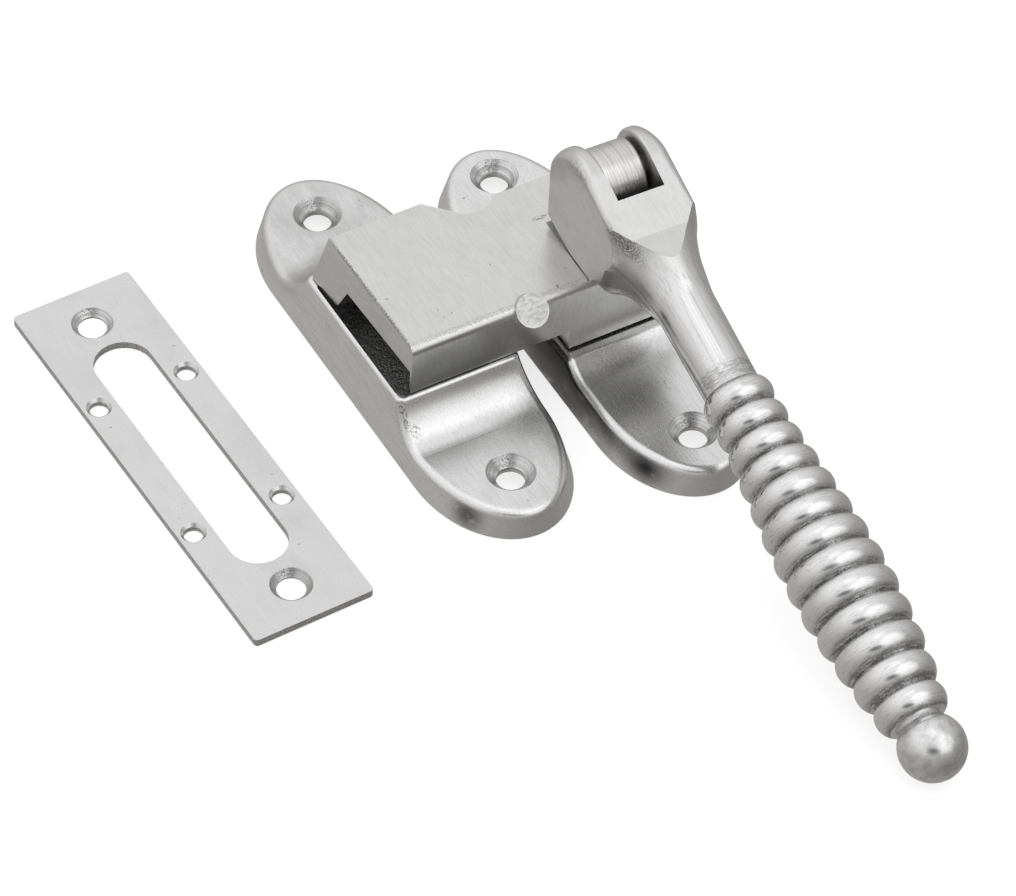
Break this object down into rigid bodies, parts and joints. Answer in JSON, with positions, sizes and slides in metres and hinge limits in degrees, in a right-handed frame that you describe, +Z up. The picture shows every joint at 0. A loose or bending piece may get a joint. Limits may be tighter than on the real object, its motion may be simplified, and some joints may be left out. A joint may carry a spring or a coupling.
{
  "type": "sash fastener",
  "caption": "Lever sash fastener: an arm turns on its base and reaches over a keep, and a ringed lever with a cam heel clamps it down. A slotted mortice plate lies loose beside it.",
  "frame": {"origin": "midway between the keep's two screw holes, on the mounting plane", "axes": "+Z up off the mounting plane, +X along the arm from the keep to the base, +Y along the feet, away from the lever at rest"},
  "size_m": [0.1045, 0.1748, 0.045],
  "materials": {
    "foot_casting": "satin casting, brushed along the foot",
    "arm_casting": "satin casting, finely brushed",
    "lever_casting": "bright satin casting",
    "spindle_metal": "satin turned metal",
    "pin_metal": "satin turned metal",
    "plate_metal": "satin sheet, brushed along its length"
  },
  "bodies": {
    "feet": {"keep": "foot_casting", "base_plate": "foot_casting", "mortice_plate": "plate_metal"},
    "arm": {"arm": "arm_casting", "spindle": "spindle_metal", "tail_washer": "spindle_metal"},
    "lever": {"handle": "lever_casting", "pivot_pin": "pin_metal"}
  },
  "joints": [
    {"name": "arm_swing", "type": "hinge", "parent": "feet", "child": "arm", "pos_m": [0.0346, -0.0079, 0], "axis": [0, 0, 1], "range_deg": [0, 90]},
    {"name": "lever_lift", "type": "hinge", "parent": "arm", "child": "lever", "pos_m": [0.0346, -0.0079, 0.0368], "axis": [-0.9995, 0.0321, 0], "range_deg": [0, 90]}
  ]
}
